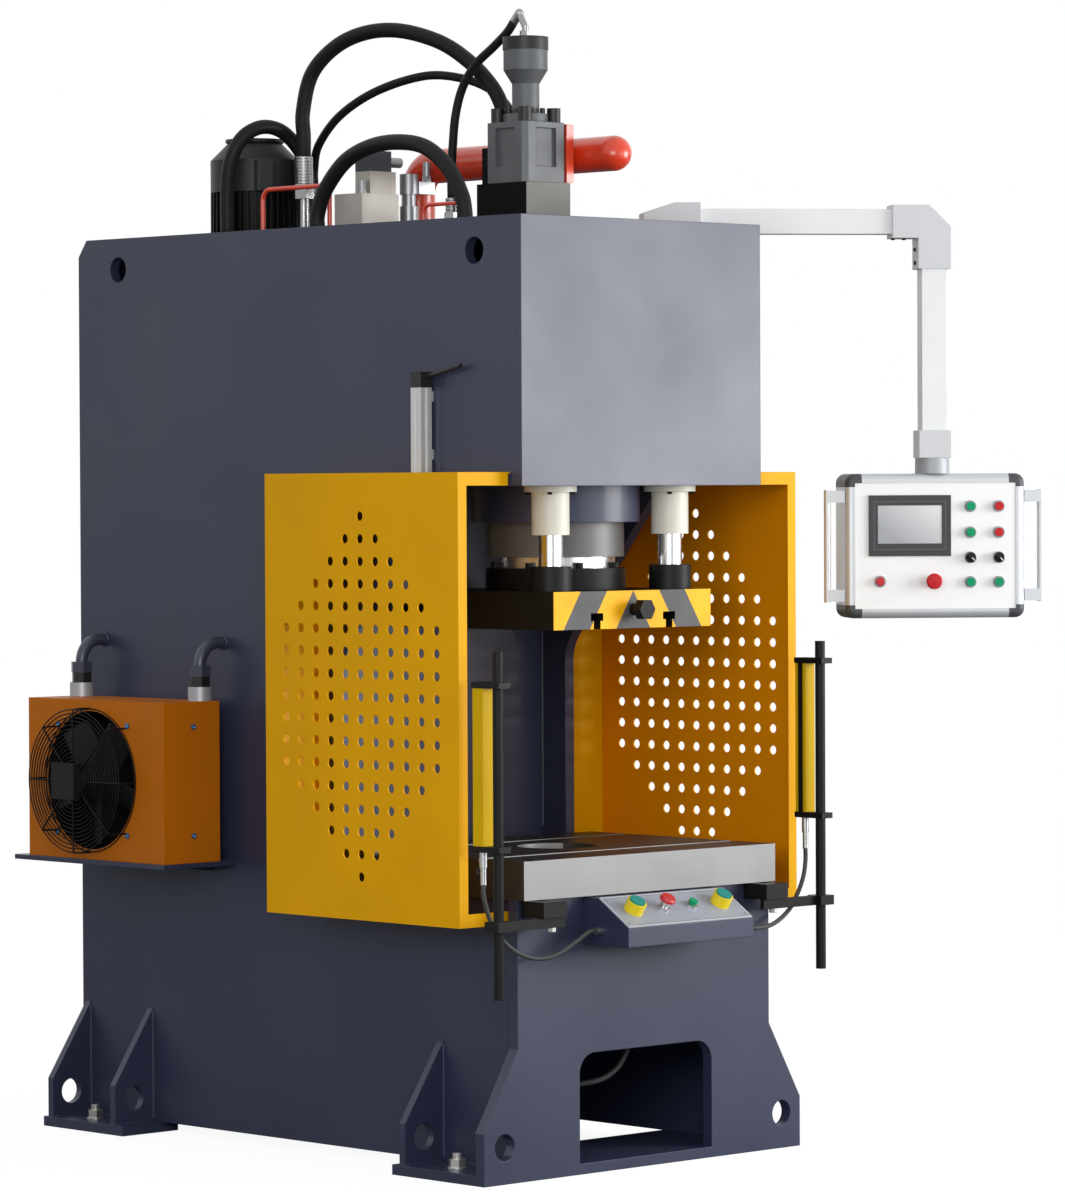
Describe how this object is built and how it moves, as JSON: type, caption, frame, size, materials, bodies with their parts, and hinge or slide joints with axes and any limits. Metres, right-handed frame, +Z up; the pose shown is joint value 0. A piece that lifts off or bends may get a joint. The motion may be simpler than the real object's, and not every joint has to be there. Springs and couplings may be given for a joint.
{
  "type": "hydraulic press",
  "caption": "C-frame hydraulic press with guided platen, perforated side guards, light curtain, two-hand console, oil cooler and swinging control pendant.",
  "frame": {"origin": "On the floor, straight below the ram's axis", "axes": "+X to the right seen from the front, +Y to the rear, +Z up along the ram's axis"},
  "size_m": [1.9433, 1.9213, 2.8408],
  "materials": {
    "frame_paint": "satin orange-peel navy grey",
    "guard_paint": "semi-gloss amber powder coat",
    "cooler_paint": "semi-gloss orange",
    "machined_steel": "machined, lightly oiled",
    "bush_metal": "fine turned, pale",
    "valve_cast": "satin grey casting",
    "red_paint": "gloss red-orange",
    "dark_paint": "satin dark grey",
    "zinc": "bright zinc plate",
    "hose_rubber": "matt black",
    "black_steel": "satin black",
    "black_plastic": "fine grain",
    "pipe_paint": "satin navy",
    "aluminium": "anodised",
    "bar_paint": "semi-gloss yellow",
    "cable_sheath": "matt grey",
    "face_plate": "satin",
    "green_plastic": "gloss green",
    "red_plastic": "gloss red",
    "boom_paint": "satin off-white",
    "panel_white": "satin white",
    "hard_chrome": "ground hard chrome"
  },
  "bodies": {
    "frame": {"side_plates": "frame_paint", "head_plates": "frame_paint", "rear_plates": "frame_paint", "apron_plate": "frame_paint", "feet": "frame_paint", "frame_bolts": "machined_steel", "table": "machined_steel", "cylinder": "frame_paint", "guide_bushes": "bush_metal", "left_guard": "guard_paint", "right_guard": "guard_paint", "steel_blocks": "machined_steel", "prefill_valve": "valve_cast", "red_pipes": "red_paint", "motor": "dark_paint", "motor_cowl": "dark_paint", "solenoid_valve": "dark_paint", "hose_fittings": "zinc", "pressure_hose": "hose_rubber", "pilot_hose": "hose_rubber", "drain_hose": "hose_rubber", "return_hose": "hose_rubber", "vent_hose": "hose_rubber", "cooler_box": "cooler_paint", "cooler_grille": "black_steel", "fan_motor": "black_plastic", "cooler_shelf": "frame_paint", "cooler_pipes": "pipe_paint", "position_sensor": "aluminium", "light_bars": "bar_paint", "curtain_stands": "black_steel", "left_cable": "cable_sheath", "right_cable": "cable_sheath", "conduit_loop": "cable_sheath", "console_box": "frame_paint", "console_plate": "face_plate", "boom_base": "aluminium"},
    "fan": {"cooler_fan": "black_plastic"},
    "boom": {"boom_tubes": "boom_paint", "boom_elbows": "boom_paint"},
    "pendant": {"pendant_case": "aluminium", "pendant_panel": "panel_white"},
    "press_head": {"ram": "hard_chrome", "ram_flange": "black_steel", "platen": "black_steel", "guide_rods": "hard_chrome"},
    "green_key_1_body": {"green_key_1": "green_plastic"},
    "red_key_1_body": {"red_key_1": "red_plastic"},
    "green_key_2_body": {"green_key_2": "green_plastic"},
    "red_key_2_body": {"red_key_2": "red_plastic"},
    "green_key_3_body": {"green_key_3": "green_plastic"},
    "green_key_4_body": {"green_key_4": "green_plastic"},
    "pendant_stop_body": {"pendant_stop": "red_plastic"},
    "left_palm_button_body": {"left_palm_button": "green_plastic"},
    "right_palm_button_body": {"right_palm_button": "green_plastic"},
    "console_stop_body": {"console_stop": "red_plastic"},
    "reset_button_body": {"reset_button": "green_plastic"},
    "left_selector_body": {"left_selector": "black_plastic"},
    "right_selector_body": {"right_selector": "black_plastic"}
  },
  "joints": [
    {"name": "ram_slide", "type": "slide", "parent": "frame", "child": "press_head", "axis": [0, 0, -1], "range_m": [0, 0.4]},
    {"name": "boom_swing", "type": "hinge", "parent": "frame", "child": "boom", "pos_m": [0.455, 0.041, 2.24], "axis": [0, 0, 1], "range_deg": [-53, 37]},
    {"name": "pendant_swivel", "type": "hinge", "parent": "boom", "child": "pendant", "pos_m": [0.98849, -0.36101, 1.72], "axis": [0, 0, 1], "range_deg": [-90, 90]},
    {"name": "fan_spin", "type": "hinge", "parent": "frame", "child": "fan", "pos_m": [-0.62, 1.052, 0.914], "axis": [1, 0, 0], "continuous": true},
    {"name": "left_palm_button_press", "type": "slide", "parent": "frame", "child": "left_palm_button_body", "axis": [0, 0.54, -0.8417], "range_m": [0, 0.004], "stiffness_N_per_m": 900, "springref_m": -0.002},
    {"name": "right_palm_button_press", "type": "slide", "parent": "frame", "child": "right_palm_button_body", "axis": [0, 0.54, -0.8417], "range_m": [0, 0.004], "stiffness_N_per_m": 900, "springref_m": -0.002},
    {"name": "console_stop_press", "type": "slide", "parent": "frame", "child": "console_stop_body", "axis": [0, 0.54, -0.8417], "range_m": [0, 0.004], "stiffness_N_per_m": 900, "springref_m": -0.002},
    {"name": "reset_button_press", "type": "slide", "parent": "frame", "child": "reset_button_body", "axis": [0, 0.54, -0.8417], "range_m": [0, 0.004], "stiffness_N_per_m": 900, "springref_m": -0.002},
    {"name": "green_key_1_press", "type": "slide", "parent": "pendant", "child": "green_key_1_body", "axis": [0.6018, 0.7986, 0], "range_m": [0, 0.003], "stiffness_N_per_m": 900, "springref_m": -0.002},
    {"name": "red_key_1_press", "type": "slide", "parent": "pendant", "child": "red_key_1_body", "axis": [0.6018, 0.7986, 0], "range_m": [0, 0.003], "stiffness_N_per_m": 900, "springref_m": -0.002},
    {"name": "green_key_2_press", "type": "slide", "parent": "pendant", "child": "green_key_2_body", "axis": [0.6018, 0.7986, 0], "range_m": [0, 0.003], "stiffness_N_per_m": 900, "springref_m": -0.002},
    {"name": "red_key_2_press", "type": "slide", "parent": "pendant", "child": "red_key_2_body", "axis": [0.6018, 0.7986, 0], "range_m": [0, 0.003], "stiffness_N_per_m": 900, "springref_m": -0.002},
    {"name": "green_key_3_press", "type": "slide", "parent": "pendant", "child": "green_key_3_body", "axis": [0.6018, 0.7986, 0], "range_m": [0, 0.003], "stiffness_N_per_m": 900, "springref_m": -0.002},
    {"name": "green_key_4_press", "type": "slide", "parent": "pendant", "child": "green_key_4_body", "axis": [0.6018, 0.7986, 0], "range_m": [0, 0.003], "stiffness_N_per_m": 900, "springref_m": -0.002},
    {"name": "pendant_stop_press", "type": "slide", "parent": "pendant", "child": "pendant_stop_body", "axis": [0.6018, 0.7986, 0], "range_m": [0, 0.003], "stiffness_N_per_m": 900, "springref_m": -0.002},
    {"name": "left_selector_turn", "type": "hinge", "parent": "pendant", "child": "left_selector_body", "pos_m": [1.03469, -0.44842, 1.469], "axis": [0.6018, 0.7986, 0], "range_deg": [0, 90]},
    {"name": "right_selector_turn", "type": "hinge", "parent": "pendant", "child": "right_selector_body", "pos_m": [1.09339, -0.49265, 1.469], "axis": [0.6018, 0.7986, 0], "range_deg": [0, 90]}
  ]
}
